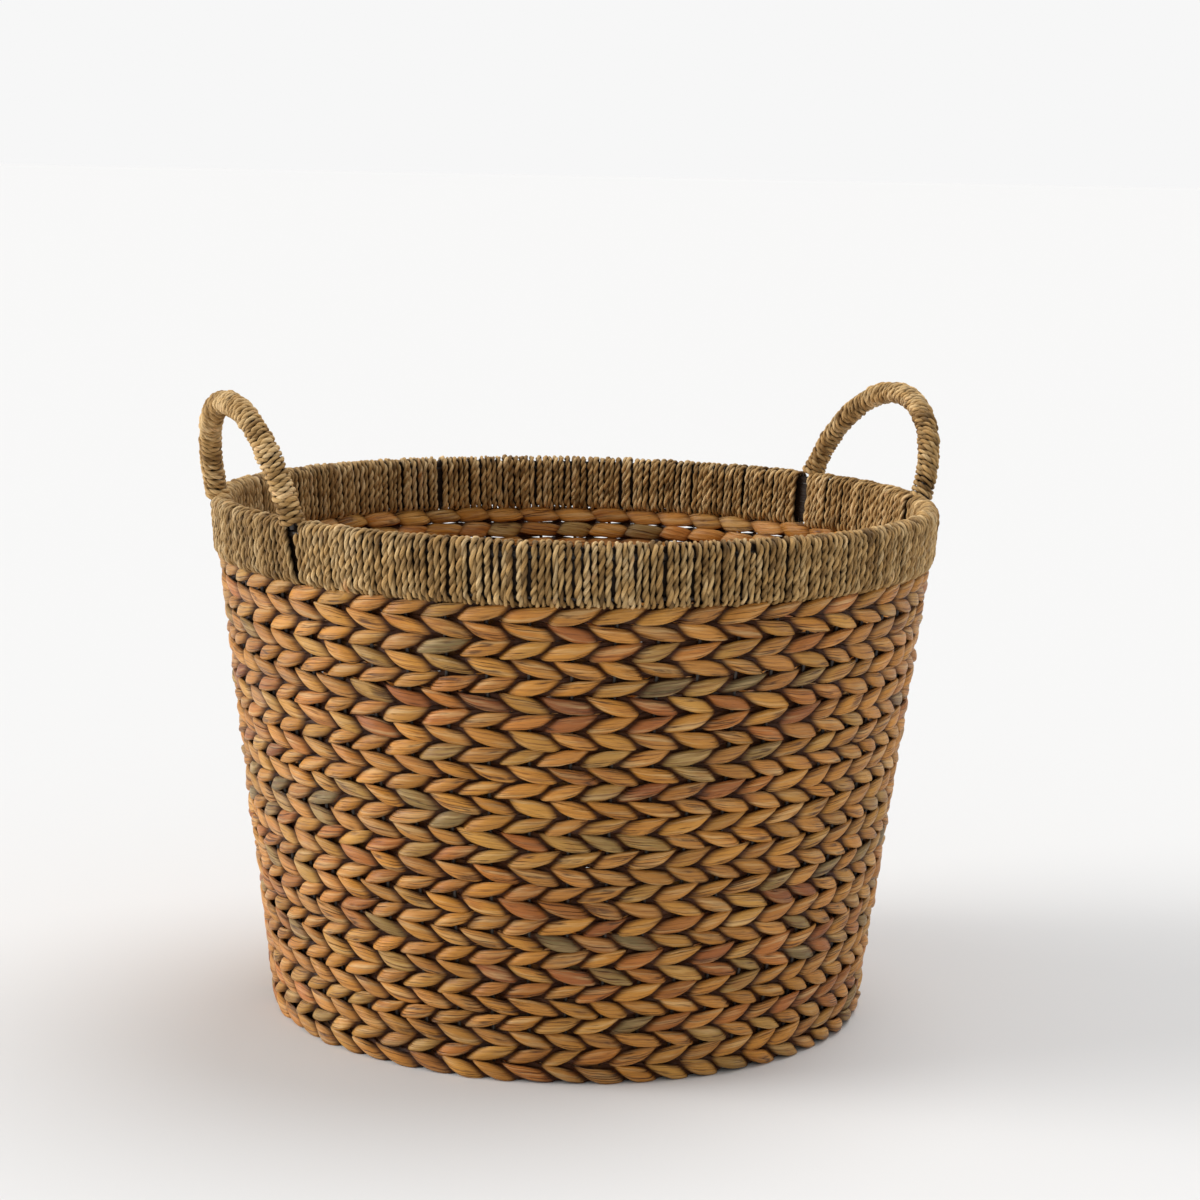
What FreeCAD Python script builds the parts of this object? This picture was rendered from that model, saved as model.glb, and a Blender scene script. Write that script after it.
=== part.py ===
import FreeCAD, Part
import math
import os
import Sketcher

# Open round basket of twined water hyacinth on bent wire stakes, with a corded rim
# and two corded loop handles. Millimetres, +Z up. The origin is the middle of the
# underside, and the handles stand at -X (left) and +X (right).

DIMENSIONS = {
    "rim_radius": 252,
    "rim_height": 356,
    "band_height": 43,
    "band_thickness": 16,
    "band_rounding": 7.5,
    "band_bottom_radius": 249,
    "cord_thickness": 4.5,
    "wall_radius_at_band": 246,
    "wall_radius_at_base": 208.7,
    "wall_thickness": 12.6,
    "strand_thickness": 4.8,
    "strand_width": 11,
    "strand_edge": 2.2,
    "course_count": 27,
    "base_course_count": 15,
    "border_width": 10,
    "border_edge": 3,
    "centre_radius": 25.8,
    "stake_count": 56,
    "stake_diameter": 2.6,
    "stake_bend_radius": 13,
    "stake_top": 343.2,
    "long_stake_start": 27,
    "short_stake_start": 94,
    "rim_wire_diameter": 5,
    "rim_wire_radius": 243.3,
    "rim_wire_height": 346,
    "lower_wire_diameter": 2.8,
    "lower_wire_radius": 243.45,
    "lower_wire_height": 320,
    "handle_half_span": 75,
    "handle_leg_height": 1,
    "handle_foot_radius": 245,
    "handle_foot_height": 349.4,
    "left_handle_lean": 14,
    "right_handle_lean": 20,
    "handle_rod_diameter": 5,
    "handle_cord_bore": 5.4,
    "handle_cord_diameter": 14.4,
    "handle_cord_start": 9.8,
    "wrap_gap": 5.8,
}

doc = FreeCAD.newDocument("basket")
sheet = doc.addObject("Spreadsheet::Sheet", "Sheet")
pieces = []


def fill_sheet():
    for row, (alias, value) in enumerate(DIMENSIONS.items(), start=1):
        sheet.set(f"A{row}", alias.replace("_", " "))
        sheet.set(f"B{row}", str(value))
        sheet.setAlias(f"B{row}", alias)
    doc.recompute()


def size(alias):
    return float(getattr(sheet, alias))


def keep(piece, label):
    piece.Label = label
    pieces.append(piece)
    return piece


# Sketches

def new_body(name):
    body = doc.addObject("PartDesign::Body", name)
    body.AllowCompound = True
    return body


def origin_plane(body, role):
    for feature in body.Origin.OriginFeatures:
        if feature.Role == role:
            return feature
    raise ValueError(role)


def new_sketch(body, name, role):
    sketch = body.newObject("Sketcher::SketchObject", name)
    sketch.AttachmentSupport = [(origin_plane(body, role), "")]
    sketch.MapMode = "FlatFace"
    return sketch


def constrain(sketch, *definition):
    return sketch.addConstraint(Sketcher.Constraint(*definition))


def drive(sketch, formula, *definition):
    """Add a constraint with a size and bind that size to the sheet."""
    number = constrain(sketch, *definition)
    sketch.setExpression(f"Constraints[{number}]", formula)


def draw_polygon(sketch, corners):
    """Draw a closed outline; each corner is two formulas measured from the sketch's origin."""
    count = len(corners)
    turns = [2 * math.pi * number / count for number in range(count)]
    rough = [FreeCAD.Vector(10 * math.cos(turn), 10 * math.sin(turn), 0) for turn in turns]
    for number in range(count):
        sketch.addGeometry(Part.LineSegment(rough[number], rough[(number + 1) % count]), False)
    for number in range(count):
        constrain(sketch, "Coincident", number, 2, (number + 1) % count, 1)
    for number, (across, up) in enumerate(corners):
        drive(sketch, across, "DistanceX", -1, 1, number, 1, rough[number].x)
        if up == "0":
            constrain(sketch, "PointOnObject", number, 1, -1)
        else:
            drive(sketch, up, "DistanceY", -1, 1, number, 1, rough[number].y)


def draw_circle(sketch, across, up, diameter):
    number = sketch.addGeometry(Part.Circle(FreeCAD.Vector(20, 20, 0), FreeCAD.Vector(0, 0, 1), 2), False)
    drive(sketch, diameter, "Diameter", number, 4.0)
    if across:
        drive(sketch, across, "DistanceX", -1, 1, number, 3, 20.0)
    else:
        constrain(sketch, "PointOnObject", number, 3, -2)
    if up:
        drive(sketch, up, "DistanceY", -1, 1, number, 3, 20.0)
    else:
        constrain(sketch, "PointOnObject", number, 3, -1)


def pipe(body, path, profile, name):
    feature = body.newObject("PartDesign::AdditivePipe", name)
    feature.Profile = profile
    feature.Spine = (path, [])
    doc.recompute()
    return feature


def polar_pattern(body, feature, name, count):
    pattern = body.newObject("PartDesign::PolarPattern", name)
    pattern.Originals = [feature]
    pattern.Axis = (origin_plane(body, "Z_Axis"), [""])
    pattern.Angle = 360
    pattern.setExpression("Occurrences", count)
    body.Tip = pattern
    doc.recompute()
    return pattern


# Wall line. Formulas give the outer radius of the wall and the slope that it leans at

BAND_BOTTOM = "(Sheet.rim_height - Sheet.band_height)"
SLOPE = f"((Sheet.wall_radius_at_band - Sheet.wall_radius_at_base) / ({BAND_BOTTOM} - Sheet.wall_thickness))"


def wall_slope():
    rise = size("rim_height") - size("band_height") - size("wall_thickness")
    return (size("wall_radius_at_band") - size("wall_radius_at_base")) / rise


# Stakes: one wire bends from the base up the wall, midway between the two strands

def stake_path(body, name, start):
    """Draw a stake from the base to the rim: a level line, a bend and a leaning line."""
    slope = wall_slope()
    level = size("wall_thickness") / 2
    band = size("rim_height") - size("band_height")
    bend = size("stake_bend_radius")
    foot = size("wall_radius_at_band") - size("wall_thickness") / 2 - (band - level) * slope
    top = foot + (size("stake_top") - level) * slope
    lean = math.atan(slope)
    tangent_length = bend * math.tan((math.pi / 2 - lean) / 2)
    bend_start = FreeCAD.Vector(foot - tangent_length, level, 0)
    bend_end = bend_start + FreeCAD.Vector(bend * math.cos(lean), bend - bend * math.sin(lean), 0)
    round_bend = Part.Circle(bend_start + FreeCAD.Vector(0, bend, 0), FreeCAD.Vector(0, 0, 1), bend)

    sketch = new_sketch(body, name, "XZ_Plane")
    sketch.addGeometry(Part.LineSegment(FreeCAD.Vector(size(start), level, 0), bend_start), False)
    sketch.addGeometry(Part.ArcOfCircle(round_bend, -math.pi / 2, -lean), False)
    sketch.addGeometry(Part.LineSegment(bend_end, FreeCAD.Vector(top, size("stake_top"), 0)), False)
    constrain(sketch, "Horizontal", 0)
    constrain(sketch, "Tangent", 0, 2, 1, 1)
    constrain(sketch, "Tangent", 1, 2, 2, 1)
    top_formula = (
        "Sheet.wall_radius_at_band - Sheet.wall_thickness / 2"
        f" + (Sheet.stake_top - {BAND_BOTTOM}) * {SLOPE}"
    )
    drive(sketch, f"Sheet.{start}", "DistanceX", -1, 1, 0, 1, size(start))
    drive(sketch, "Sheet.wall_thickness / 2", "DistanceY", -1, 1, 0, 1, level)
    drive(sketch, "Sheet.stake_bend_radius", "Radius", 1, bend)
    drive(sketch, top_formula, "DistanceX", -1, 1, 2, 2, top)
    drive(sketch, "Sheet.stake_top", "DistanceY", -1, 1, 2, 2, size("stake_top"))
    drive(sketch, f"90 deg - atan({SLOPE})", "Angle", 2, math.pi / 2 - lean)
    return sketch


def stakes(label, start, first_turn):
    """Make half of the stakes, evenly spaced; the other half stands between them."""
    body = new_body(label)
    path = stake_path(body, label + "_path", start)
    section = new_sketch(body, label + "_section", "YZ_Plane")
    section.setExpression("AttachmentOffset.Base.z", f"Sheet.{start}")
    draw_circle(section, "", "Sheet.wall_thickness / 2", "Sheet.stake_diameter")
    doc.recompute()
    wire = pipe(body, path, section, label + "_wire")
    polar_pattern(body, wire, label + "_ring", "Sheet.stake_count / 2")
    body.Placement.Rotation = FreeCAD.Rotation(FreeCAD.Vector(0, 0, 1), first_turn)
    keep(body, label)


# Woven courses: each is a pair of flat strands, one on each side of the stakes

def flat_outline(width, thickness, edge):
    """Corners of a flat section with both edges bevelled, about its own middle."""
    half = f"{width} / 2"
    shoulder = f"({half} - {edge})"
    face = f"{thickness} / 2"
    return [
        (half, "0"),
        (shoulder, face),
        (f"-{shoulder}", face),
        (f"-{half}", "0"),
        (f"-{shoulder}", f"-{face}"),
        (shoulder, f"-{face}"),
    ]


def ring(name, outline, radius, height, tilt):
    """Turn a section about the axis; the tilt leans its width over from upright."""
    section = doc.addObject("Sketcher::SketchObject", name + "_section")
    upright = FreeCAD.Rotation(FreeCAD.Vector(1, 0, 0), 90)
    section.Placement.Rotation = FreeCAD.Rotation(FreeCAD.Vector(0, 1, 0), tilt - 90) * upright
    section.setExpression("Placement.Base.x", radius)
    section.setExpression("Placement.Base.z", height)
    draw_polygon(section, outline)
    turned = doc.addObject("Part::Revolution", name)
    turned.Source = section
    turned.Axis = FreeCAD.Vector(0, 0, 1)
    turned.Angle = 360
    turned.Solid = True
    return turned


def strand(name, radius, height, tilt):
    outline = flat_outline("Sheet.strand_width", "Sheet.strand_thickness", "Sheet.strand_edge")
    return ring(name, outline, radius, height, tilt)


def strand_pair(label, first, second):
    pair = doc.addObject("Part::Compound", label)
    pair.Links = [first, second]
    keep(pair, label)


def wall_courses():
    """Stack the courses down the leaning wall, from the band to the base."""
    tilt = math.degrees(math.atan(wall_slope()))
    for number in range(1, DIMENSIONS["course_count"] + 1):
        label = f"wall_course_{number:02d}"
        share = f"(({number} - 0.5) / Sheet.course_count)"
        outside = (
            "Sheet.wall_radius_at_band"
            f" - {share} * (Sheet.wall_radius_at_band - Sheet.wall_radius_at_base)"
        )
        height = f"{BAND_BOTTOM} - {share} * ({BAND_BOTTOM} - Sheet.wall_thickness)"
        outer_radius = f"{outside} - Sheet.strand_thickness / 2"
        inner_radius = f"{outside} - Sheet.wall_thickness + Sheet.strand_thickness / 2"
        outer = strand(label + "_outer", outer_radius, height, tilt)
        inner = strand(label + "_inner", inner_radius, height, tilt)
        strand_pair(label, outer, inner)


def base_courses():
    """Lay the courses of the flat base, from the centre out to the wall."""
    for number in range(1, DIMENSIONS["base_course_count"] + 1):
        label = f"base_course_{number:02d}"
        share = f"(({number} - 0.5) / Sheet.base_course_count)"
        edge = "(Sheet.wall_radius_at_base - Sheet.wall_thickness)"
        radius = f"Sheet.centre_radius + {share} * ({edge} - Sheet.centre_radius)"
        lower = strand(label + "_lower", radius, "Sheet.strand_thickness / 2", 90)
        upper = strand(label + "_upper", radius, "Sheet.wall_thickness - Sheet.strand_thickness / 2", 90)
        strand_pair(label, lower, upper)


def base_border():
    """Lay the border strand in the corner, outside the bend of the stakes."""
    outline = flat_outline("Sheet.border_width", "Sheet.border_width", "Sheet.border_edge")
    radius = "Sheet.wall_radius_at_base - Sheet.border_width / 2"
    keep(ring("base_border", outline, radius, "Sheet.border_width / 2", 0), "base_border")


def base_centre():
    """Make the flat wound knot that the weave starts from."""
    knot = doc.addObject("Part::Cylinder", "base_centre")
    knot.setExpression("Radius", "Sheet.centre_radius")
    knot.setExpression("Height", "Sheet.wall_thickness")
    keep(knot, "base_centre")


# Rim

def wire_ring(label, size_name):
    wire = doc.addObject("Part::Torus", label)
    wire.setExpression("Radius1", f"Sheet.{size_name}_radius")
    wire.setExpression("Radius2", f"Sheet.{size_name}_diameter / 2")
    wire.setExpression("Placement.Base.z", f"Sheet.{size_name}_height")
    keep(wire, label)


def rim_wires():
    wire_ring("rim_wire", "rim_wire")
    wire_ring("lower_rim_wire", "lower_wire")


def round_edges_at(body, base, height, radius):
    """Round each edge of the feature that lies wholly at one height."""
    names = []
    for number, edge in enumerate(base.Shape.Edges, start=1):
        box = edge.BoundBox
        level = abs(box.ZMin - height) < 0.01 and abs(box.ZMax - height) < 0.01
        if level and edge.Curve.TypeId == "Part::GeomCircle":
            names.append(f"Edge{number}")
    fillet = body.newObject("PartDesign::Fillet", body.Name + "_rounding")
    fillet.Base = (base, names)
    fillet.setExpression("Radius", radius)
    doc.recompute()


def band_outline(inset, bottom, top):
    """Corners of the band's leaning section, drawn in from its faces by the inset."""
    outside_low = f"Sheet.band_bottom_radius - {inset}"
    outside_high = f"Sheet.rim_radius - {inset}"
    inside_low = f"Sheet.band_bottom_radius - Sheet.band_thickness + {inset}"
    inside_high = f"Sheet.rim_radius - Sheet.band_thickness + {inset}"
    return [(inside_low, bottom), (outside_low, bottom), (outside_high, top), (inside_high, top)]


def revolve(body, kind, name, sketch, angle):
    feature = body.newObject(kind, name)
    feature.Profile = sketch
    feature.ReferenceAxis = (sketch, ["V_Axis"])
    feature.Angle = angle
    doc.recompute()
    return feature


def rim_cord(label, start_angle, sweep_angle):
    """Wind the cord over the rim wires along one stretch between two handle legs."""
    body = new_body(label)
    outline = new_sketch(body, label + "_outline", "XZ_Plane")
    draw_polygon(outline, band_outline("0", BAND_BOTTOM, "Sheet.rim_height"))
    band = revolve(body, "PartDesign::Revolution", label + "_band", outline, sweep_angle)
    round_edges_at(body, band, size("rim_height"), "Sheet.band_rounding")
    solid_volume = body.Shape.Volume
    hollow = new_sketch(body, label + "_hollow", "XZ_Plane")
    cord = "Sheet.cord_thickness"
    draw_polygon(hollow, band_outline(cord, f"{BAND_BOTTOM} - 1", f"Sheet.rim_height - {cord}"))
    revolve(body, "PartDesign::Groove", label + "_groove", hollow, 360)
    if body.Shape.Volume > 0.8 * solid_volume:
        raise RuntimeError(label + " was not hollowed")
    body.Placement.Rotation = FreeCAD.Rotation(FreeCAD.Vector(0, 0, 1), start_angle)
    keep(body, label)


def rim_cords():
    """Four stretches, which stop either side of each of the four handle legs."""
    leg_angle = math.degrees(math.asin(size("handle_half_span") / size("handle_foot_radius")))
    half_gap = math.degrees(size("wrap_gap") / 2 / size("rim_radius"))
    short_sweep = 2 * (leg_angle - half_gap)
    long_sweep = 180 - 2 * (leg_angle + half_gap)
    rim_cord("rim_cord_right", -leg_angle + half_gap, short_sweep)
    rim_cord("rim_cord_back", leg_angle + half_gap, long_sweep)
    rim_cord("rim_cord_left", 180 - leg_angle + half_gap, short_sweep)
    rim_cord("rim_cord_front", 180 + leg_angle + half_gap, long_sweep)


# Handles

def arch_path(body, name):
    """Draw two short legs joined by a half circle, across the body's YZ plane."""
    span = size("handle_half_span")
    leg = size("handle_leg_height")
    sketch = new_sketch(body, name, "YZ_Plane")
    half_circle = Part.Circle(FreeCAD.Vector(0, leg, 0), FreeCAD.Vector(0, 0, 1), span)
    sketch.addGeometry(Part.LineSegment(FreeCAD.Vector(span, 0, 0), FreeCAD.Vector(span, leg, 0)), False)
    sketch.addGeometry(Part.ArcOfCircle(half_circle, 0, math.pi), False)
    sketch.addGeometry(Part.LineSegment(FreeCAD.Vector(-span, leg, 0), FreeCAD.Vector(-span, 0, 0)), False)
    constrain(sketch, "Tangent", 0, 2, 1, 1)
    constrain(sketch, "Tangent", 1, 2, 2, 1)
    constrain(sketch, "Vertical", 0)
    constrain(sketch, "Vertical", 2)
    constrain(sketch, "PointOnObject", 0, 1, -1)
    constrain(sketch, "PointOnObject", 2, 2, -1)
    constrain(sketch, "PointOnObject", 1, 3, -2)
    drive(sketch, "Sheet.handle_half_span", "Radius", 1, span)
    drive(sketch, "Sheet.handle_leg_height", "DistanceY", 0, 1, 0, 2, leg)
    return sketch


def many_sided(diameter, sides):
    """Corners of a regular outline, as formulas, centred where the arch starts."""
    corners = []
    for number in range(sides):
        turn = 360 * (number + 0.5) / sides
        across = f"{diameter} / 2 * cos({turn} deg)"
        along = f"Sheet.handle_half_span + {diameter} / 2 * sin({turn} deg)"
        corners.append((across, along))
    return corners


def arch_body(label):
    body = new_body(label)
    path = arch_path(body, label + "_path")
    profile = new_sketch(body, label + "_section", "XY_Plane")
    return body, path, profile


def handle_rod(label):
    body, path, profile = arch_body(label)
    draw_circle(profile, "", "Sheet.handle_half_span", "Sheet.handle_rod_diameter")
    doc.recompute()
    pipe(body, path, profile, label + "_sweep")
    return body


def handle_cord(label):
    """Sweep the winding's outside along the arch, then its bore."""
    body, path, profile = arch_body(label)
    draw_polygon(profile, many_sided("Sheet.handle_cord_diameter", 16))
    bore = new_sketch(body, label + "_bore", "XY_Plane")
    draw_polygon(bore, many_sided("Sheet.handle_cord_bore", 12))
    doc.recompute()
    pipe(body, path, profile, label + "_sweep")
    solid_volume = body.Shape.Volume
    hollow = body.newObject("PartDesign::SubtractivePipe", label + "_hollow")
    hollow.Profile = bore
    hollow.Spine = (path, [])
    doc.recompute()
    if body.Shape.Volume > 0.95 * solid_volume:
        raise RuntimeError(label + " was not hollowed")
    return body


def trim_legs(body):
    """Cut the cord winding off where it meets the top of the rim."""
    width = size("handle_cord_diameter")
    block = body.newObject("PartDesign::SubtractiveBox", body.Name + "_trim")
    block.setExpression("Length", "2 * Sheet.handle_cord_diameter")
    block.setExpression("Width", "2 * Sheet.rim_radius")
    block.setExpression("Height", "2 * Sheet.handle_cord_start")
    block.Placement.Base = FreeCAD.Vector(-width, -size("rim_radius"), -size("handle_cord_start"))
    doc.recompute()


def lean_out(body, side, lean):
    chord = math.sqrt(size("handle_foot_radius") ** 2 - size("handle_half_span") ** 2)
    body.Placement = FreeCAD.Placement(
        FreeCAD.Vector(side * chord, 0, size("handle_foot_height")),
        FreeCAD.Rotation(FreeCAD.Vector(0, 1, 0), side * lean),
    )


def handles():
    for name, side in (("left", -1), ("right", 1)):
        lean = size(f"{name}_handle_lean")
        rod = handle_rod(f"handle_rod_{name}")
        cord = handle_cord(f"handle_cord_{name}")
        trim_legs(cord)
        lean_out(rod, side, lean)
        lean_out(cord, side, lean)
        keep(rod, f"handle_rod_{name}")
        keep(cord, f"handle_cord_{name}")


# Check and write

def check_document():
    for thing in doc.Objects:
        if "Invalid" in thing.State or "Error" in thing.State:
            raise RuntimeError(f"{thing.Label} failed: {thing.State}")
    for piece in pieces:
        if piece.Shape.isNull() or not piece.Shape.isValid() or not piece.Shape.Solids:
            raise RuntimeError(f"{piece.Label} has no valid solid")


def write_parts():
    os.makedirs("parts", exist_ok=True)
    for piece in pieces:
        piece.Shape.exportStep(f"parts/{piece.Label}.step")
        print(piece.Label, len(piece.Shape.Solids), round(piece.Shape.Volume))


fill_sheet()
stakes("long_stakes", "long_stake_start", 0)
stakes("short_stakes", "short_stake_start", 360 / size("stake_count"))
wall_courses()
base_courses()
base_border()
base_centre()
rim_wires()
rim_cords()
handles()
doc.recompute()
check_document()
write_parts()
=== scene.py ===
import math
import random

import bmesh
import bpy
import numpy
from mathutils import Matrix, Vector


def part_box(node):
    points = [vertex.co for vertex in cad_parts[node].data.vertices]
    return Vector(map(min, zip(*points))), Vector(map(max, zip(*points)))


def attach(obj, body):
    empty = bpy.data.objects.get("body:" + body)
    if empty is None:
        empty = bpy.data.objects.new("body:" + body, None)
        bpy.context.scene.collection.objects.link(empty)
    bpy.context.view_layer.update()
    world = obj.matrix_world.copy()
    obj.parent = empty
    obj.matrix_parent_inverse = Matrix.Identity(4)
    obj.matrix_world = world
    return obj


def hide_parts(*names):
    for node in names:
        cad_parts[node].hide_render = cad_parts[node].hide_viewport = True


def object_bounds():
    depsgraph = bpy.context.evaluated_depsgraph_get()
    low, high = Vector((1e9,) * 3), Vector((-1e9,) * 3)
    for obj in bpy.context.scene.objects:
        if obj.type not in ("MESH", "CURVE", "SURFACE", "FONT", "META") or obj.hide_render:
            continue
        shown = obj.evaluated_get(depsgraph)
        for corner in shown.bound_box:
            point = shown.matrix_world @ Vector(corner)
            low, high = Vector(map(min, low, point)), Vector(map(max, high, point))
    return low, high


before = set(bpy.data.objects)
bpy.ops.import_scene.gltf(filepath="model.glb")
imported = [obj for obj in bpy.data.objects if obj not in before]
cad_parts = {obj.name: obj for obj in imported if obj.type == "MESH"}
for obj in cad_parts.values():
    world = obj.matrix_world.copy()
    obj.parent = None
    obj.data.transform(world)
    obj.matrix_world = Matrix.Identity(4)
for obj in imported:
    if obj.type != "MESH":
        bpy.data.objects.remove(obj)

# Open round basket: twined water hyacinth walls and base, a rim bound with twisted
# seagrass cord, and two loop handles wound with the same cord. Metres, +Z up.

millimetre = 0.001
cadLow, cadHigh = [Vector(corner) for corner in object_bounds()]
body = "root"


# Shared mesh helpers

def stripMesh(name, points, along, around, tones, cavity):
    # points[row][column] lie on a long tube: rows run along it and columns round it.
    # The depth level is 0 for a point deep between its neighbours and 1 for one on top; deep points get
    # painted shade.
    # Layer fibre holds the distances along and round the tube, tone the hue and lightness
    rows = points.shape[0] - 1
    columns = points.shape[1] - 1
    grid = bmesh.new()
    bmesh.ops.create_grid(grid, x_segments=columns, y_segments=rows, size=1.0)
    mesh = bpy.data.meshes.new(name)
    grid.to_mesh(mesh)
    grid.free()

    flat = numpy.empty(len(mesh.vertices) * 3, dtype=numpy.float32)
    mesh.vertices.foreach_get("co", flat)
    flat = flat.reshape(-1, 3)
    column = numpy.rint((flat[:, 0] + 1) / 2 * columns).astype(int)
    row = numpy.rint((flat[:, 1] + 1) / 2 * rows).astype(int)
    mesh.vertices.foreach_set("co", points[row, column].astype(numpy.float32).ravel())

    corners = numpy.empty(len(mesh.loops), dtype=numpy.int32)
    mesh.loops.foreach_get("vertex_index", corners)
    fibre = numpy.stack([along[row[corners]], around * column[corners] / columns], axis=1)
    mesh.uv_layers.new(name="fibre").data.foreach_set("uv", fibre.astype(numpy.float32).ravel())
    toneLayer = mesh.uv_layers.new(name="tone")
    faceRow = row[corners].reshape(-1, 4).min(axis=1)
    faceTone = numpy.repeat(tones[faceRow], 4, axis=0)
    toneLayer.data.foreach_set("uv", faceTone.astype(numpy.float32).ravel())
    level = numpy.clip(cavity[row[corners], column[corners]], 0, 1)
    levels = numpy.stack([level, 0 * level], axis=1)
    mesh.uv_layers.new(name="cavity").data.foreach_set("uv", levels.astype(numpy.float32).ravel())
    return mesh


def weldedObject(name, meshes, material, nodes):
    # Weld the seam of each tube, join the tubes and turn every face outward
    joined = bmesh.new()
    for mesh in meshes:
        tube = bmesh.new()
        tube.from_mesh(mesh)
        edge = [vertex for vertex in tube.verts if vertex.is_boundary]
        bmesh.ops.remove_doubles(tube, verts=edge, dist=1e-6)
        welded = bpy.data.meshes.new(name + "Tube")
        tube.to_mesh(welded)
        tube.free()
        joined.from_mesh(welded)
        bpy.data.meshes.remove(welded)
        bpy.data.meshes.remove(mesh)
    bmesh.ops.recalc_face_normals(joined, faces=joined.faces)
    for face in joined.faces:
        face.smooth = True
    whole = bpy.data.meshes.new(name)
    joined.to_mesh(whole)
    joined.free()
    whole.materials.append(material)
    piece = bpy.data.objects.new(name, whole)
    bpy.context.collection.objects.link(piece)
    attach(piece, body)
    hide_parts(*nodes)


def roundedSection(columns, fullness):
    # How far across and how deep each point is: a circle at fullness 1, squarer below it
    turn = numpy.linspace(0, 2 * math.pi, columns + 1)
    wide = numpy.sign(numpy.cos(turn)) * numpy.abs(numpy.cos(turn)) ** fullness
    deep = numpy.sign(numpy.sin(turn)) * numpy.abs(numpy.sin(turn)) ** fullness
    return wide, deep


def sectionTube(centres, across, outward, halfWidth, halfDepth, columns, fullness):
    # A rounded section, wider or flatter from row to row, swept along the centres
    wide, deep = roundedSection(columns, fullness)
    points = centres[:, None, :].repeat(columns + 1, axis=1)
    points = points + across[:, None, :] * (halfWidth[:, None] * wide[None, :])[:, :, None]
    points = points + outward[:, None, :] * (halfDepth[:, None] * deep[None, :])[:, :, None]
    points[:, -1] = points[:, 0]
    return points


def smoothNoise(count, knots, rng, periodic):
    # Values in -1..1 that wander smoothly along a row
    values = [rng.uniform(-1, 1) for _ in range(knots + 1)]
    if periodic:
        values[-1] = values[0]
    position = numpy.linspace(0, knots, count)
    low = numpy.minimum(position.astype(int), knots - 1)
    share = position - low
    share = share * share * (3 - 2 * share)
    values = numpy.array(values)
    return values[low] * (1 - share) + values[low + 1] * share


# Materials

def srgb(red, green, blue):
    def linear(value):
        value = value / 255
        return value / 12.92 if value <= 0.04045 else ((value + 0.055) / 1.055) ** 2.4
    return (linear(red), linear(green), linear(blue), 1.0)


class Shader:
    def __init__(self, name, roughness, specular=0.5):
        self.material = bpy.data.materials.new(name)
        self.material.use_nodes = True
        self.tree = self.material.node_tree
        self.surface = self.tree.nodes["Principled BSDF"]
        self.surface.inputs["Roughness"].default_value = roughness
        self.surface.inputs["Specular IOR Level"].default_value = specular

    def node(self, kind, **settings):
        node = self.tree.nodes.new(kind)
        for key, value in settings.items():
            setattr(node, key, value)
        return node

    def link(self, output, target):
        self.tree.links.new(output, target)

    def uv(self, layer):
        return self.node("ShaderNodeUVMap", uv_map=layer).outputs["UV"]

    def scaled(self, vector, scale):
        mapping = self.node("ShaderNodeMapping")
        mapping.inputs["Scale"].default_value = scale
        self.link(vector, mapping.inputs["Vector"])
        return mapping.outputs["Vector"]

    def noise(self, vector, scale, detail=3.0, roughness=0.55):
        noise = self.node("ShaderNodeTexNoise")
        noise.inputs["Scale"].default_value = scale
        noise.inputs["Detail"].default_value = detail
        noise.inputs["Roughness"].default_value = roughness
        self.link(vector, noise.inputs["Vector"])
        return noise.outputs["Fac"]

    def ramp(self, factor, stops):
        ramp = self.node("ShaderNodeValToRGB")
        elements = ramp.color_ramp.elements
        while len(elements) < len(stops):
            elements.new(0.5)
        for element, (position, color) in zip(elements, stops):
            element.position = position
            element.color = color
        self.link(factor, ramp.inputs["Fac"])
        return ramp.outputs["Color"]

    def remap(self, value, low, high, newLow, newHigh):
        remap = self.node("ShaderNodeMapRange")
        sockets = ("From Min", "From Max", "To Min", "To Max")
        for socket, number in zip(sockets, (low, high, newLow, newHigh)):
            remap.inputs[socket].default_value = number
        self.link(value, remap.inputs["Value"])
        return remap.outputs["Result"]

    def mix(self, factor, first, second):
        mix = self.node("ShaderNodeMix", data_type="RGBA")
        for value, index in ((factor, 0), (first, 6), (second, 7)):
            if isinstance(value, (int, float, tuple)):
                mix.inputs[index].default_value = value
            else:
                self.link(value, mix.inputs[index])
        return mix.outputs[2]

    def math(self, operation, first, second):
        node = self.node("ShaderNodeMath", operation=operation)
        for value, socket in ((first, node.inputs[0]), (second, node.inputs[1])):
            if isinstance(value, (int, float)):
                socket.default_value = value
            else:
                self.link(value, socket)
        return node.outputs[0]

    def separate(self, vector):
        node = self.node("ShaderNodeSeparateXYZ")
        self.link(vector, node.inputs[0])
        return node.outputs

    def finish(self, color, height, distance, strength=1.0):
        self.link(color, self.surface.inputs["Base Color"])
        bump = self.node("ShaderNodeBump")
        bump.inputs["Strength"].default_value = strength
        bump.inputs["Distance"].default_value = distance
        self.link(height, bump.inputs["Height"])
        self.link(bump.outputs["Normal"], self.surface.inputs["Normal"])
        return self.material


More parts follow.
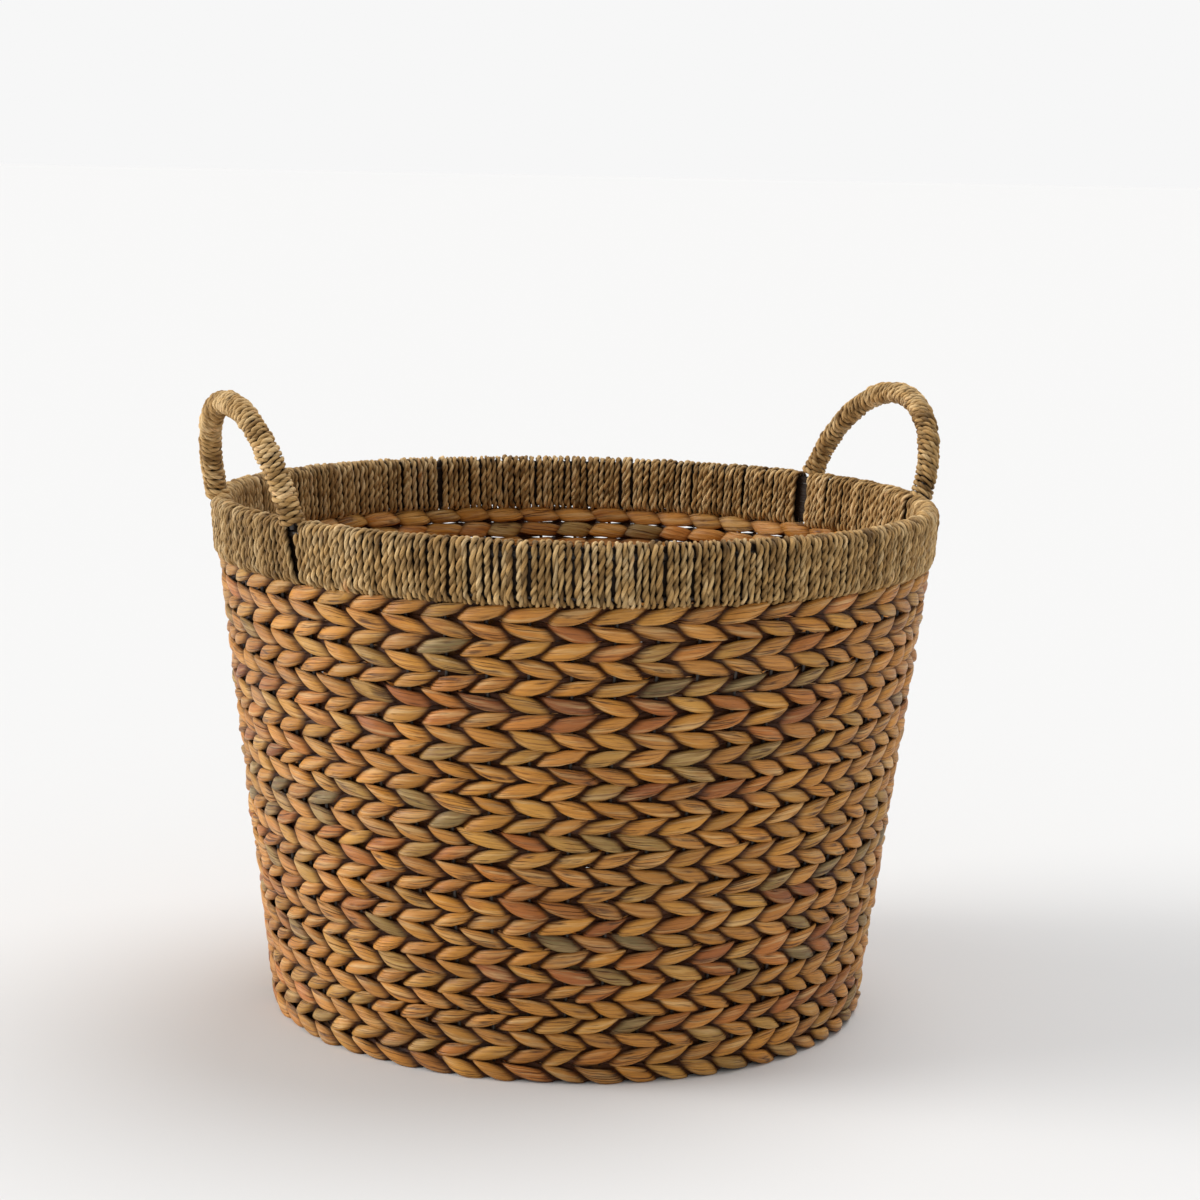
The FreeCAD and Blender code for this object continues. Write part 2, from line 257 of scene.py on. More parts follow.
def hyacinthMaterial(name):
    shader = Shader(name, roughness=0.44, specular=0.42)
    tone = shader.separate(shader.uv("tone"))
    cavity = shader.separate(shader.uv("cavity"))[0]
    fibre = shader.uv("fibre")
    dry = shader.ramp(tone[0], [
        (0.0, srgb(134, 112, 66)),
        (0.1, srgb(172, 136, 72)),
        (0.25, srgb(206, 150, 66)),
        (0.45, srgb(208, 140, 52)),
        (0.62, srgb(206, 142, 64)),
        (0.8, srgb(196, 122, 48)),
        (0.93, srgb(180, 106, 46)),
        (1.0, srgb(158, 92, 44)),
    ])
    # Fine fibres along the strand, wider faded streaks, rusty patches, and lengthwise creases
    lines = shader.noise(shader.scaled(fibre, (16, 900, 1)), 1.0, detail=4.0, roughness=0.8)
    streaks = shader.noise(shader.scaled(fibre, (20, 300, 1)), 1.0, detail=3.0)
    patches = shader.noise(shader.scaled(fibre, (50, 90, 1)), 1.0, detail=3.0)
    folds = shader.noise(shader.scaled(fibre, (9, 250, 1)), 1.0, detail=1.0)
    crease = shader.math("ABSOLUTE", shader.math("SUBTRACT", folds, 0.5), 0.0)
    crease = shader.remap(crease, 0.0, 0.026, 1.0, 0.0)
    crease = shader.math("MULTIPLY", crease, shader.remap(patches, 0.42, 0.55, 0.0, 1.0))
    color = shader.mix(shader.remap(patches, 0.52, 0.75, 0.0, 0.6), dry, srgb(166, 92, 34))
    color = shader.mix(shader.remap(streaks, 0.5, 0.68, 0.0, 0.55), color, srgb(232, 196, 136))
    color = shader.mix(shader.remap(lines, 0.51, 0.34, 0.0, 0.8), color, srgb(108, 56, 14))
    color = shader.mix(shader.math("MULTIPLY", crease, 0.8), color, srgb(62, 30, 8))
    # Painted shade: the strand is painted darker where it dives under the next one
    depth = shader.remap(cavity, 0.25, 0.82, 0.96, 0.0)
    color = shader.mix(depth, color, srgb(62, 24, 2))
    bright = shader.node("ShaderNodeHueSaturation")
    shader.link(shader.remap(tone[1], 0.0, 1.0, 0.8, 1.12), bright.inputs["Value"])
    shader.link(color, bright.inputs["Color"])
    height = shader.math("ADD", shader.math("MULTIPLY", lines, 0.6), streaks)
    height = shader.math("SUBTRACT", height, shader.math("MULTIPLY", crease, 0.5))
    return shader.finish(bright.outputs["Color"], height, distance=0.0014, strength=0.9)


def seagrassMaterial(name):
    shader = Shader(name, roughness=0.6, specular=0.3)
    tone = shader.separate(shader.uv("tone"))
    cavity = shader.separate(shader.uv("cavity"))[0]
    fibre = shader.uv("fibre")
    length = shader.noise(shader.scaled(fibre, (60, 0, 1)), 1.0, detail=2.0)
    shade = shader.math("ADD", shader.math("MULTIPLY", length, 0.75), shader.math("MULTIPLY", tone[0], 0.5))
    color = shader.ramp(shade, [
        (0.26, srgb(98, 72, 34)),
        (0.42, srgb(146, 110, 60)),
        (0.56, srgb(186, 146, 88)),
        (0.7, srgb(210, 172, 114)),
        (0.84, srgb(234, 200, 146)),
        (1.0, srgb(188, 126, 64)),
    ])
    lines = shader.noise(shader.scaled(fibre, (60, 1500, 1)), 1.0, detail=3.0, roughness=0.7)
    color = shader.mix(shader.remap(lines, 0.48, 0.32, 0.0, 0.75), color, srgb(70, 46, 20))
    # Painted shade: the plies are painted darker on the sides that face in, toward what the cord is wound
    # on, and in the gaps between them
    color = shader.mix(shader.remap(cavity, 0.2, 0.9, 0.98, 0.0), color, srgb(34, 16, 2))
    bright = shader.node("ShaderNodeHueSaturation")
    shader.link(shader.remap(tone[1], 0.0, 1.0, 0.72, 1.12), bright.inputs["Value"])
    shader.link(color, bright.inputs["Color"])
    return shader.finish(bright.outputs["Color"], lines, distance=0.0007, strength=1.0)


def wireMaterial(name):
    # Brown-black paint, thin and worn through in specks
    shader = Shader(name, roughness=0.45)
    place = shader.node("ShaderNodeTexCoord").outputs["Object"]
    brushed = shader.noise(shader.scaled(place, (1, 1, 0.3)), 900.0, detail=2.0)
    worn = shader.noise(place, 140.0, detail=4.0)
    color = shader.mix(shader.remap(brushed, 0.35, 0.65, 0.0, 1.0), srgb(38, 30, 24), srgb(58, 46, 36))
    color = shader.mix(shader.remap(worn, 0.66, 0.72, 0.0, 0.7), color, srgb(112, 92, 74))
    return shader.finish(color, brushed, distance=0.0002)


hyacinth = hyacinthMaterial("hyacinth")
seagrass = seagrassMaterial("seagrass")
paintedWire = wireMaterial("paintedWire")


def paintWires():
    for name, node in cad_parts.items():
        if name.endswith(("_stakes", "_wire")) or name.startswith("handle_rod"):
            node.data.materials.clear()
            node.data.materials.append(paintedWire)


# Twined courses: two flat strands twist about each other and about the stakes

twine = {
    "frontReach": 3.6 * millimetre,
    "crossingOffset": 1.5 * millimetre,
    "halfWidth": 5.8 * millimetre,
    "halfWidthAtCrossing": 4.3 * millimetre,
    "halfDepth": 2.4 * millimetre,
    "halfDepthAtCrossing": 2.2 * millimetre,
    "slant": 1.0,
    "crowding": 0.45,
    "flatness": 0.55,
    "fullness": 0.74,
    "rowsPerStitch": 10,
    "columns": 12,
    "girth": 26 * millimetre,
    "stitchVaries": {
        "width": (0.86, 1.06),
        "depth": (0.75, 1.25),
        "bulge": (-0.6 * millimetre, 0.6 * millimetre),
        "shift": (-0.6 * millimetre, 0.6 * millimetre),
        "slant": (0.7, 1.25),
        "roll": (-0.25, 0.25),
    },
    "stalkStitches": (2, 7),
    "hue": 0.48,
    "hueSpread": 0.19,
    "stitchHueSpread": 0.1,
    "crossingSlide": 0.1,
    "crossingSharpness": 1.6,
    "changeFrom": 0.3,
    "changeShare": 0.4,
}


def perStitch(position, values):
    # Each stitch keeps its own value and hands over to the next one at the crossing
    low = numpy.floor(position).astype(int)
    share = numpy.clip((position - low - twine["changeFrom"]) / twine["changeShare"], 0, 1)
    share = share * share * (3 - 2 * share)
    values = numpy.array(values)
    return values[low % len(values)] * (1 - share) + values[(low + 1) % len(values)] * share


def strandTones(stitches, rng):
    # A dried stalk lasts for several stitches, and each stitch also differs a little
    tones = []
    remaining = 0
    for _ in range(stitches):
        if remaining == 0:
            remaining = rng.randint(*twine["stalkStitches"])
            stalk = min(max(rng.gauss(twine["hue"], twine["hueSpread"]), 0.0), 1.0)
        remaining -= 1
        own = min(max(stalk + rng.gauss(0, twine["stitchHueSpread"]), 0.0), 1.0)
        tones.append((own, rng.random()))
    return tones


def twinedStrand(name, ring, stitches, hand, phase, rng):
    # ring gives the radius, the height and the across and outward directions of a course
    size = twine

    def varied(measure):
        low, high = size["stitchVaries"][measure]
        return perStitch(stitch, [rng.uniform(low, high) for _ in range(stitches)])

    rowCount = stitches * size["rowsPerStitch"]
    even = numpy.arange(rowCount + 1) / size["rowsPerStitch"]
    place = even + size["crowding"] * numpy.sin(2 * math.pi * even) / (2 * math.pi)
    stitch = place + phase
    angle = math.pi * stitch
    front = numpy.cos(angle)
    facing = numpy.sign(front) * numpy.abs(front) ** size["flatness"]
    crossing = (1 - numpy.abs(front)) ** size["crossingSharpness"]

    scale = ring.get("scale", 1.0)
    halfWidth = size["halfWidth"] + (size["halfWidthAtCrossing"] - size["halfWidth"]) * crossing
    halfDepth = size["halfDepth"] + (size["halfDepthAtCrossing"] - size["halfDepth"]) * crossing
    halfWidth = halfWidth * varied("width") * scale
    halfDepth = halfDepth * varied("depth") * scale
    bulge = varied("bulge")
    shift = varied("shift")
    slant = hand * size["slant"] * varied("slant")
    roll = varied("roll")
    out = (size["frontReach"] + bulge) * facing * scale
    rise = hand * size["crossingOffset"] * numpy.sin(angle) * numpy.abs(numpy.sin(angle))
    up = (rise + shift * (1 - crossing)) * scale
    slide = numpy.interp(place % stitches, numpy.arange(stitches + 1) - 0.5, ring["slides"])

    wide, deep = roundedSection(size["columns"], size["fullness"])
    across = halfWidth[:, None] * wide[None, :]
    outward = halfDepth[:, None] * deep[None, :]
    acrossRolled = across * numpy.cos(roll)[:, None] - outward * numpy.sin(roll)[:, None]
    outwardRolled = outward * numpy.cos(roll)[:, None] + across * numpy.sin(roll)[:, None]
    acrossAll = acrossRolled + up[:, None]
    outwardAll = outwardRolled + out[:, None]
    radius = ring["radius"] + acrossAll * ring["across"][0] + outwardAll * ring["outward"][0]
    height = ring["height"] + acrossAll * ring["across"][1] + outwardAll * ring["outward"][1]
    height = numpy.maximum(height, cadLow.z)
    # The sections slant, so the strand dives behind the next one along a slanting line
    theta = 2 * math.pi * place / stitches + ring["turn"] + slide
    theta = theta[:, None] + slant[:, None] * across / ring["radius"]
    points = numpy.stack([radius * numpy.cos(theta), radius * numpy.sin(theta), height], axis=2)
    points[:, -1] = points[:, 0]
    points[-1] = points[0]

    along = 2 * math.pi * place / stitches * ring["radius"] + rng.uniform(0, 10)
    tones = numpy.array(strandTones(stitches, rng))
    middle = numpy.floor(stitch[:-1] + 0.5 + 0.5 / size["rowsPerStitch"]).astype(int) % stitches
    # How far out each point stands, from 0 deep between the strands to 1 on top: this sets the painted
    # shade
    cavity = numpy.abs(outwardAll) / (size["frontReach"] + 0.8 * size["halfDepth"]) / scale
    return stripMesh(name, points, along, size["girth"], tones[middle], cavity)


def crossingSlides(stitches, rng):
    # The two strands cross a little before or after the middle between two stakes
    step = 2 * math.pi / stitches
    most = twine["crossingSlide"]
    slides = [rng.uniform(-most, most) * step for _ in range(stitches)]
    return slides + slides[:1]


def twinedCourse(name, node, ring, stitches, hand, seed):
    rng = random.Random(seed)
    ring["slides"] = crossingSlides(stitches, rng)
    strands = [twinedStrand(name, ring, stitches, hand, phase, rng) for phase in (0, 1)]
    weldedObject(name, strands, hyacinth, [node])


stakeCount = 56
firstCourseLift = 2.4 * millimetre
liftedCourses = 6
courseTurn = 0.02
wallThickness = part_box("base_centre")[1][2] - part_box("base_centre")[0][2]
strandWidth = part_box("wall_course_01")[1][2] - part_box("wall_course_01")[0][2]


def wallCourses():
    nodes = sorted(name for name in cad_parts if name.startswith("wall_course_"))
    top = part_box(nodes[0])
    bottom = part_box(nodes[-1])
    flare = math.atan((top[1][0] - bottom[1][0]) / (top[1][2] - bottom[1][2]))
    for number, node in enumerate(nodes):
        low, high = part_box(node)
        # The first courses are drawn up tight against the band
        lift = firstCourseLift * max(0.0, 1 - number / liftedCourses)
        ring = {
            "radius": high[0] - wallThickness / 2,
            "height": (low[2] + high[2]) / 2 + lift,
            "across": (math.sin(flare), math.cos(flare)),
            "outward": (math.cos(flare), -math.sin(flare)),
            "turn": random.Random(node).uniform(-courseTurn, courseTurn),
        }
        hand = 1 if number % 2 == 0 else -1
        twinedCourse("wallCourse%02d" % (number + 1), node, ring, stakeCount, hand, node)


def flatRing(outerRadius, width):
    # A course of the base lies flat: across is away from the middle and outward is down
    return {
        "radius": outerRadius - width / 2,
        "height": cadLow.z + wallThickness / 2,
        "across": (1.0, 0.0),
        "outward": (0.0, -1.0),
        "turn": 0.0,
    }


base = {
    "coursesAtQuarter": 3,
    "coursesAtHalf": 6,
    "lastScale": 1.15,
    "lastPressedOut": 0.8 * millimetre,
}


def baseCourses():
    nodes = sorted(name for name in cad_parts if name.startswith("base_course_"))
    for number, node in enumerate(nodes):
        low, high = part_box(node)
        # Fewer stitches fit round the middle, where the short stakes have ended
        stitches = stakeCount
        if number < base["coursesAtHalf"]:
            stitches = stakeCount // 2
        if number < base["coursesAtQuarter"]:
            stitches = stakeCount // 4
        hand = 1 if number % 2 == 0 else -1
        ring = flatRing(high[0], strandWidth)
        if node == nodes[-1]:
            # The last course is pressed out against the wall
            ring["scale"] = base["lastScale"]
            ring["radius"] += base["lastPressedOut"]
        twinedCourse("baseCourse%02d" % (number + 1), node, ring, stitches, hand, node)


border = {
    "tilt": math.radians(10),
    "raise": 1.2 * millimetre,
    "scale": 1.04,
}


def baseBorder():
    # The border stands in the corner below the wall, like one more course
    low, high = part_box("base_border")
    ring = {
        "radius": high[0] - wallThickness / 2,
        "height": (low[2] + high[2]) / 2 + border["raise"],
        "across": (math.sin(border["tilt"]), math.cos(border["tilt"])),
        "outward": (math.cos(border["tilt"]), -math.sin(border["tilt"])),
        "turn": 0.0,
        "scale": border["scale"],
    }
    twinedCourse("baseBorder", "base_border", ring, stakeCount, -1, "border")


# Two courses round a small knot: how far in each one starts, its scale, stitches and hand
centreRings = [
    (0.0, 1.0, 14, 1),
    (strandWidth, 1.0, 8, -1),
    (2 * strandWidth - 1.5 * millimetre, 0.55, 4, 1),
]


def baseCentre():
    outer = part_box("base_centre")[1][0]
    rng = random.Random("centre")
    strands = []
    for inset, scale, stitches, hand in centreRings:
        ring = flatRing(outer - inset, strandWidth * scale)
        ring["scale"] = scale
        ring["slides"] = crossingSlides(stitches, rng)
        strands += [twinedStrand("baseCentre", ring, stitches, hand, phase, rng) for phase in (0, 1)]
    weldedObject("baseCentre", strands, hyacinth, ["base_centre"])


# Twisted cord

cord = {
    "plyRadius": 1.2 * millimetre,
    "plyOffset": 1.0 * millimetre,
    "lay": 15 * millimetre,
    "columns": 7,
    "girth": 8 * millimetre,
    "unevenOver": 20 * millimetre,
    "shadeOver": 110 * millimetre,
    "twistVaries": 1.8,
    "thicknessVaries": 0.2,
    "plyVaries": 0.14,
    "shadeVaries": 0.3,
    "flattened": 1.12,
}


def cordMeshes(name, centres, outward, rng, size=cord):
    # Two plies twist about the line of the cord; outward points away from what it is wound on
    step = numpy.linalg.norm(numpy.diff(centres, axis=0), axis=1)
    along = numpy.concatenate([[0], numpy.cumsum(step)])
    tangent = numpy.gradient(centres, axis=0)
    tangent /= numpy.linalg.norm(tangent, axis=1)[:, None]
    outward = outward - tangent * (outward * tangent).sum(axis=1)[:, None]
    outward /= numpy.linalg.norm(outward, axis=1)[:, None]
    side = numpy.cross(tangent, outward)
    knots = max(int(along[-1] / size["unevenOver"]), 2)
    shadeKnots = max(int(along[-1] / size["shadeOver"]), 2)
    twist = 2 * math.pi * along / size["lay"]
    twist = twist + size["twistVaries"] * smoothNoise(len(along), knots, rng, False)
    thickness = 1 + size["thicknessVaries"] * smoothNoise(len(along), knots, rng, False)
    start = rng.uniform(0, 10)
    shade = smoothNoise(len(along), shadeKnots, rng, False)
    meshes = []
    for ply in (0, 1):
        angle = twist + math.pi * ply
        offset = outward * numpy.cos(angle)[:, None] + side * numpy.sin(angle)[:, None]
        cross = side * numpy.cos(angle)[:, None] - outward * numpy.sin(angle)[:, None]
        own = thickness * (1 + size["plyVaries"] * smoothNoise(len(along), knots * 3, rng, False))
        radius = size["plyRadius"] * own
        radius[0] = 0
        radius[-1] = 0
        middles = centres + offset * (size["plyOffset"] * own)[:, None]
        widths = radius * size["flattened"]
        points = sectionTube(middles, cross, offset, widths, radius, size["columns"], 1.0)
        light = shade + smoothNoise(len(along), knots * 2, rng, False)
        light = 0.5 + size["shadeVaries"] * light
        tones = numpy.stack([light[:-1], numpy.full(len(along) - 1, rng.random())], axis=1)
        # How far out each point stands, from 0 on the inward side to 1 on top: this sets the painted shade
        height = ((points - centres[:, None, :]) * outward[:, None, :]).sum(axis=2)
        cavity = 0.5 + 0.5 * height / (size["plyRadius"] + size["plyOffset"])
        meshes.append(stripMesh(name, points, along + start + ply, size["girth"], tones, cavity))
    return meshes


# Rim: the cord goes up the inside, over the wires and down the outside, again and again

rim = {
    "thickness": 16 * millimetre,
    "flare": 3 / 43,
    "pitch": 4.7 * millimetre,
    "rowsPerTurn": 58,
    "unevenness": 0.2,
    "endPlace": 0.4,
    "wander": 0.55 * millimetre,
    "puff": 0.4 * millimetre,
    "leanFades": 50 * millimetre,
    "bow": 2.4 * millimetre,
    "bowFades": 7 * millimetre,
    "legGap": 5.8 * millimetre,
    "stepFrom": 0.3,
    "stepShare": 0.2,
    "insideLean": 0.3,
    "paddingHalfDepth": 1.8 * millimetre,
    "paddingUneven": 0.4 * millimetre,
    "paddingGirth": 80 * millimetre,
    "paddingRows": 224,
    "paddingKnots": 60,
    "paddingColumns": 14,
    "paddingFullness": 0.5,
}
rimRadius = -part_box("rim_cord_front")[0][1]


def rimSection(share, height):
    # The middle line of the cord round the band's section: how far out and how high it
    # is, from the middle of the band, and which way is outward. It starts at the top of
    # the outside and goes down
    half = cord["plyRadius"] + cord["plyOffset"]
    bend = rim["thickness"] / 2 - half
    straight = height - 2 * half - 2 * bend
    arc = math.pi * bend
    distance = (share % 1.0) * 2 * (straight + arc)
    corner = straight / 2
    stations = numpy.cumsum([straight, arc, straight])
    bottomTurn = -(distance - stations[0]) / bend
    topTurn = math.pi - (distance - stations[2]) / bend
    stretches = [distance < stations[0], distance < stations[1], distance < stations[2]]
    turn = numpy.select(stretches, [0 * distance, bottomTurn, 0 * distance + math.pi], topTurn)
    across = bend * numpy.cos(turn)
    up = numpy.select(
        stretches,
        [corner - distance, bend * numpy.sin(turn) - corner, distance - stations[1] - corner],
        bend * numpy.sin(turn) + corner,
    )
    return across, up, numpy.cos(turn), numpy.sin(turn)


def rimStretch(name, node, startAngle, endAngle, leanStart, leanEnd):
    rng = random.Random(name)
    low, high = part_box(node)
    middleHeight = (low[2] + high[2]) / 2
    bandHeight = high[2] - low[2]
    sweep = (endAngle - startAngle) * rimRadius
    turns = round(sweep / rim["pitch"])
    count = turns * rim["rowsPerTurn"] + 1
    place = numpy.arange(count) / rim["rowsPerTurn"]
    whole = numpy.minimum(place.astype(int), turns - 1)

    # A turn steps on to the next place while it passes under the band
    uneven = rim["unevenness"]
    places = [n + 0.5 + rng.uniform(-uneven, uneven) for n in range(1, turns)]
    places = [rim["endPlace"]] + places + [turns - rim["endPlace"]]
    places = numpy.array(places) / turns * sweep
    underway = numpy.clip((place - whole - rim["stepFrom"]) / rim["stepShare"], 0, 1)
    position = places[whole] + (places[whole + 1] - places[whole]) * underway
    across, up, outR, outZ = rimSection(place, bandHeight)
    drop = 0.5 - up / bandHeight
    lean = leanStart * numpy.exp(-position / rim["leanFades"])
    lean = lean + leanEnd * numpy.exp(-(sweep - position) / rim["leanFades"])
    lean = lean * drop * numpy.where(outR >= 0, 1.0, rim["insideLean"])
    # Beside a leg, where the cord leans, the end turns also bow away from the leg
    bow = bool(leanStart) * numpy.exp(-position / rim["bowFades"])
    bow = bow - bool(leanEnd) * numpy.exp(-(sweep - position) / rim["bowFades"])
    lean = lean + rim["bow"] * bow * numpy.sin(math.pi * drop)
    wander = smoothNoise(count, turns * 3, rng, False) * rim["wander"]
    puff = smoothNoise(count, turns * 2, rng, False) * rim["puff"]
    theta = startAngle + (position + wander + lean) / rimRadius
    outermost = rimRadius - rim["flare"] * bandHeight / 2
    radius = outermost - rim["thickness"] / 2 + across + puff * outR + rim["flare"] * up
    height = middleHeight + up + puff * outZ
    centres = numpy.stack([radius * numpy.cos(theta), radius * numpy.sin(theta), height], axis=1)
    outward = numpy.stack([outR * numpy.cos(theta), outR * numpy.sin(theta), outZ], axis=1)
    meshes = cordMeshes(name, centres, outward, rng)
    weldedObject(name, meshes, seagrass, [node])


def rimPadding():
    # A flat bundle of leaf lies inside the band and hides its hollow; it is painted almost wholly in
    # painted shade, the dark seen in the gaps between the turns of cord
    rng = random.Random("padding")
    low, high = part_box("rim_cord_front")
    steps = rim["paddingRows"]
    theta = numpy.linspace(0, 2 * math.pi, steps + 1)
    radius = rimRadius - rim["flare"] * (high[2] - low[2]) / 2 - rim["thickness"] / 2
    height = (low[2] + high[2]) / 2
    radial = numpy.stack([numpy.cos(theta), numpy.sin(theta), 0 * theta], axis=1)
    upright = radial * rim["flare"] + numpy.array([0, 0, 1])
    uneven = smoothNoise(steps + 1, rim["paddingKnots"], rng, True) * rim["paddingUneven"]
    centres = radial * (radius + uneven)[:, None] + numpy.array([0, 0, height])
    halfHeight = (high[2] - low[2]) / 2 - 2 * (cord["plyRadius"] + cord["plyOffset"])
    halves = numpy.full(steps + 1, halfHeight)
    depths = numpy.full(steps + 1, rim["paddingHalfDepth"])
    columns = rim["paddingColumns"]
    points = sectionTube(centres, upright, radial, halves, depths, columns, rim["paddingFullness"])
    points[-1] = points[0]
    tones = numpy.stack([numpy.full(steps, 0.3), numpy.full(steps, 0.3)], axis=1)
    # A low level all over paints the padding in nearly full painted shade
    cavity = numpy.full(points.shape[:2], 0.2)
    mesh = stripMesh("rimPadding", points, theta * radius, rim["paddingGirth"], tones, cavity)
    nodes = ["rim_cord_" + side for side in ("front", "right", "back", "left")]
    weldedObject("rimPadding", [mesh], seagrass, nodes)


def rimCords():
    # The cord leans over at the foot of each leg, most at the near leg of the left handle
    legAngle = math.asin(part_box("rim_cord_right")[1][1] / rimRadius)
    gap = rim["legGap"] / rimRadius
    longStart = legAngle + gap
    longMiddle = math.pi / 2
    longEnd = math.pi - longStart
    stretches = [
        ("rimCordRight", "rim_cord_right", -legAngle, legAngle, -1.0, 3.0),
        ("rimCordLeft", "rim_cord_left", math.pi - legAngle, math.pi + legAngle, 1.0, 9.0),
        ("rimCordBackRight", "rim_cord_back", longStart, longMiddle, 2.0, 0.0),
        ("rimCordBackLeft", "rim_cord_back", longMiddle, longEnd, 0.0, -2.0),
        ("rimCordFrontLeft", "rim_cord_front", math.pi + longStart, math.pi + longMiddle, 6.5, 0.0),
        ("rimCordFrontRight", "rim_cord_front", math.pi + longMiddle, math.pi + longEnd, 0.0, -2.0),
    ]
    for name, node, start, end, leanStart, leanEnd in stretches:
        rimStretch(name, node, start, end, leanStart * millimetre, leanEnd * millimetre)


# Handles: the cord winds round each bent rod

handle = {
    "rodRadius": 2.5 * millimetre,
    "coilRadius": 6.0 * millimetre,
    "cord": {**cord, "plyRadius": 1.3 * millimetre, "plyOffset": 0.8 * millimetre, "lay": 13 * millimetre},
    "lean": {"left": math.radians(14), "right": math.radians(20)},
    "cordStart": 3.5 * millimetre,
    "pitch": 3.9 * millimetre,
    "ridgeTurn": math.radians(40),
    "chevron": 8 * millimetre,
    "chevronVaries": 0.4,
    "joinFromFoot": 45 * millimetre,
    "joinBulge": {"left": 1.2 * millimetre, "right": 0.5 * millimetre},
    "joinLength": 4 * millimetre,
    "footSpread": 0.9 * millimetre,
    "footLength": 5 * millimetre,
    "wander": 0.5 * millimetre,
    "reachVaries": 0.35 * millimetre,
    "rowsPerTurn": 26,
}


def handleCord(side, direction):
    rng = random.Random("handle" + side)
    low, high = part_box("handle_rod_" + side)
    lean = handle["lean"][side]
    rod = handle["rodRadius"]
    footZ = low[2] + rod * math.sin(lean)
    footX = (low[0] if direction > 0 else -high[0]) + rod * math.cos(lean)
    span = (high[1] - low[1]) / 2 - rod
    leg = (high[2] - rod - footZ) / math.cos(lean) - span
    upward = numpy.array([direction * math.sin(lean), 0, math.cos(lean)])
    outside = numpy.array([direction * math.cos(lean), 0, -math.sin(lean)])
    sideways = numpy.array([0.0, 1.0, 0.0])
    foot = numpy.array([direction * footX, 0, footZ])

    arcStart = math.asin((handle["cordStart"] - leg) / span)
    length = (math.pi - 2 * arcStart) * span
    turns = round(length / handle["pitch"])
    count = turns * handle["rowsPerTurn"] + 1
    turn = 2 * math.pi * numpy.arange(count) / handle["rowsPerTurn"]
    # Each turn is a chevron: it bends at a ridge that runs along the loop
    fromRidge = numpy.abs((turn - handle["ridgeTurn"] + math.pi) % (2 * math.pi) - math.pi) / math.pi
    varies = handle["chevronVaries"]
    chevron = handle["chevron"] * (1 - varies + varies * smoothNoise(count, 5, rng, False))
    position = numpy.linspace(0, length, count) + (0.5 - fromRidge) * chevron
    position = position + smoothNoise(count, turns * 2, rng, False) * handle["wander"]
    position = numpy.clip(position, 0, length)
    angle = arcStart + position / span
    radial = sideways * numpy.cos(angle)[:, None] + upward * numpy.sin(angle)[:, None]
    away = radial * numpy.cos(turn)[:, None] + outside * numpy.sin(turn)[:, None]
    footLength = handle["footLength"]
    ends = numpy.exp(-position / footLength) + numpy.exp(-(length - position) / footLength)
    join = numpy.exp(-((length - position - handle["joinFromFoot"]) / handle["joinLength"]) ** 2)
    reach = handle["coilRadius"] + smoothNoise(count, turns * 2, rng, False) * handle["reachVaries"]
    reach = reach + handle["footSpread"] * ends + handle["joinBulge"][side] * join
    centres = foot + upward * leg + radial * span + away * reach[:, None]
    meshes = cordMeshes("handleCord", centres, away, rng, handle["cord"])
    name = "handleCord" + side.capitalize()
    weldedObject(name, meshes, seagrass, ["handle_cord_" + side])


# Camera, floor and lights

def lookFrom(position, pitch, yaw, roll):
    forward = Vector((math.sin(yaw) * math.cos(pitch), math.cos(yaw) * math.cos(pitch), -math.sin(pitch)))
    right = forward.cross(Vector((0, 0, 1))).normalized()
    up = right.cross(forward)
    rolledRight = right * math.cos(roll) + up * math.sin(roll)
    rolledUp = up * math.cos(roll) - right * math.sin(roll)
    basis = Matrix((rolledRight, rolledUp, -forward)).transposed()
    return Matrix.Translation(position) @ basis.to_4x4()


view = {
    "turn": math.radians(-25.7),
    "position": (0, -1.8633, 0.578),
    "pitch": 0.1582,
    "yaw": 0.0099,
    "roll": 0.0214,
    "lens": 81.07,
    "sensorWidth": 36,
}
studioLight = {
    "floorHalfWidth": 200.0,
    "paper": 0.778,
    "ambient": 0.52,
    "backdrop": 0.93,
    "lamps": [
        ("overhead", (0.8, 0.8, 2.6), 1.4, (0.99, 0.995, 1.0), math.radians(45)),
        ("leftSun", (-2.6, -0.3, 1.7), 1.3, (1.0, 0.98, 0.95), math.radians(30)),
        ("sideSun", (-2.5, 0.3, 0.7), 1.4, (1.0, 0.98, 0.95), math.radians(30)),
    ],
}


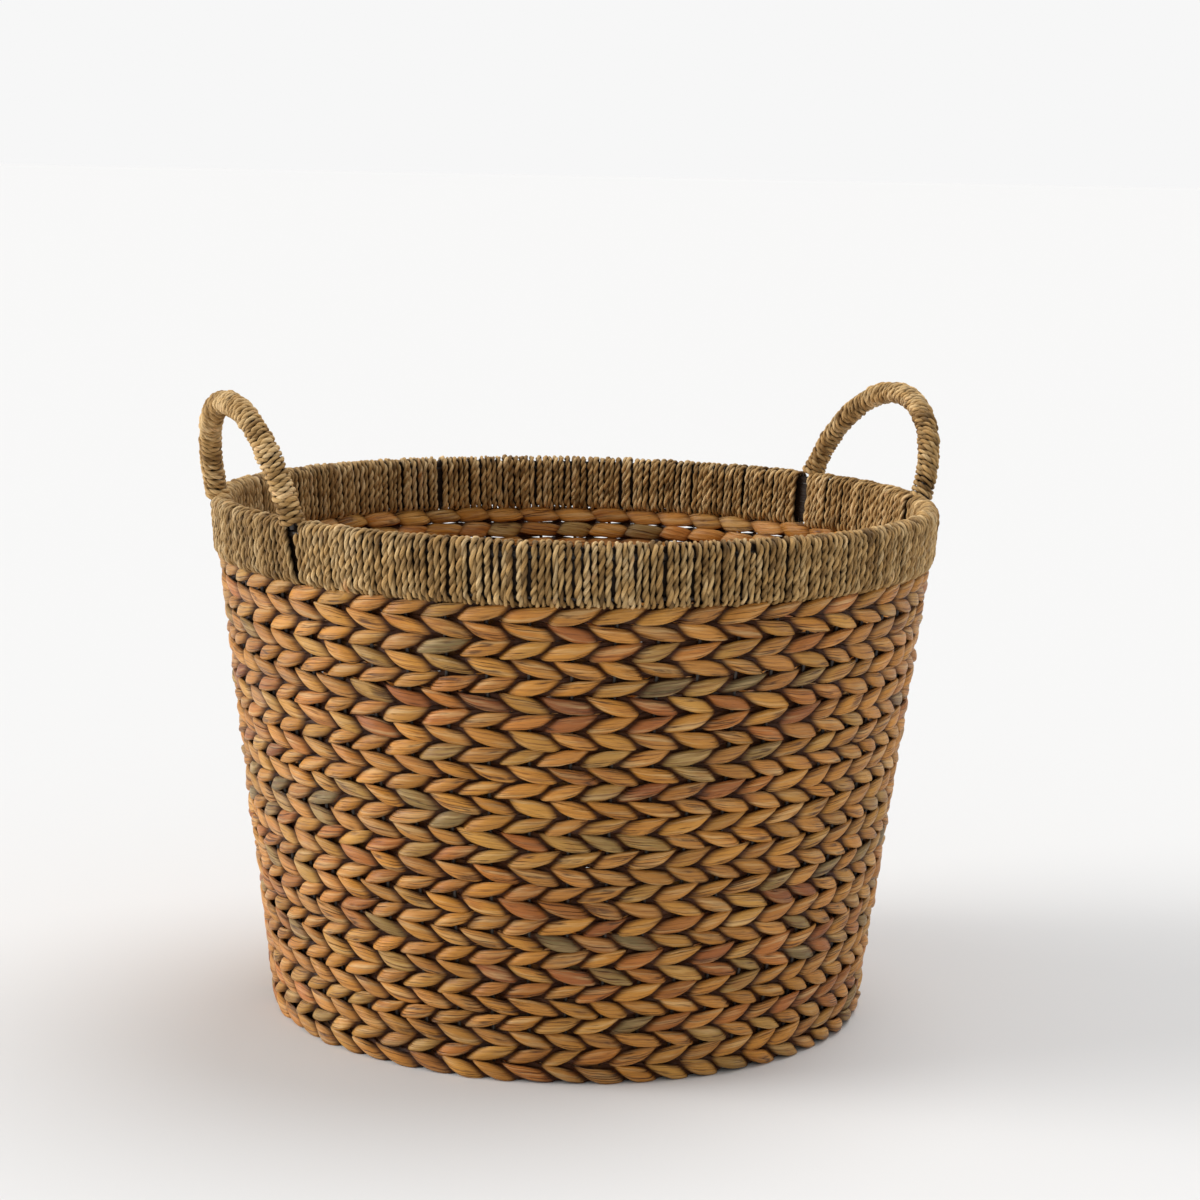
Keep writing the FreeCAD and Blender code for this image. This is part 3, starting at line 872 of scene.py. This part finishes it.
def studio():
    orbit = Matrix.Rotation(view["turn"], 4, "Z")
    camera = bpy.data.objects.new("camera", bpy.data.cameras.new("camera"))
    camera.data.lens = view["lens"]
    camera.data.sensor_width = view["sensorWidth"]
    stand = lookFrom(Vector(view["position"]), view["pitch"], view["yaw"], view["roll"])
    camera.matrix_world = orbit @ stand
    bpy.context.collection.objects.link(camera)
    bpy.context.scene.camera = camera

    floorMesh = bpy.data.meshes.new("floor")
    floorGrid = bmesh.new()
    bmesh.ops.create_grid(floorGrid, x_segments=1, y_segments=1, size=studioLight["floorHalfWidth"])
    floorGrid.to_mesh(floorMesh)
    floorGrid.free()
    floor = bpy.data.objects.new("floor", floorMesh)
    floor.location = (0, 0, cadLow.z - 0.3 * millimetre)
    plain = bpy.data.materials.new("floor")
    plain.use_nodes = True
    surface = plain.node_tree.nodes["Principled BSDF"]
    paper = studioLight["paper"]
    surface.inputs["Base Color"].default_value = (paper, paper, paper, 1)
    surface.inputs["Roughness"].default_value = 1.0
    surface.inputs["Specular IOR Level"].default_value = 0.0
    floorMesh.materials.append(plain)
    bpy.context.collection.objects.link(floor)

    # The backdrop looks as pale as the lit floor but lights the basket less
    world = bpy.data.worlds.new("studio")
    world.use_nodes = True
    backdrop = world.node_tree.nodes["Background"]
    backdrop.inputs["Color"].default_value = (1, 1, 1, 1)
    lightPath = world.node_tree.nodes.new("ShaderNodeLightPath")
    strength = world.node_tree.nodes.new("ShaderNodeMapRange")
    strength.inputs["To Min"].default_value = studioLight["ambient"]
    strength.inputs["To Max"].default_value = studioLight["backdrop"]
    world.node_tree.links.new(lightPath.outputs["Is Camera Ray"], strength.inputs["Value"])
    world.node_tree.links.new(strength.outputs["Result"], backdrop.inputs["Strength"])
    bpy.context.scene.world = world
    bpy.context.scene.view_settings.view_transform = "Standard"

    def shine(name, position, energy, color, width):
        light = bpy.data.lights.new(name, "SUN")
        light.energy = energy
        light.color = color
        light.angle = width
        lamp = bpy.data.objects.new(name, light)
        place = orbit @ Vector(position)
        aim = (Vector((0, 0, 0.2)) - place).to_track_quat("-Z", "Y").to_matrix().to_4x4()
        lamp.matrix_world = Matrix.Translation(place) @ aim
        bpy.context.collection.objects.link(lamp)

    for lamp in studioLight["lamps"]:
        shine(*lamp)


studio()
paintWires()
print("studio ready")
wallCourses()
print("wall woven")
baseCourses()
baseBorder()
baseCentre()
print("base woven")
rimCords()
rimPadding()
print("rim bound")
handleCord("left", -1)
handleCord("right", 1)
print("handles bound")
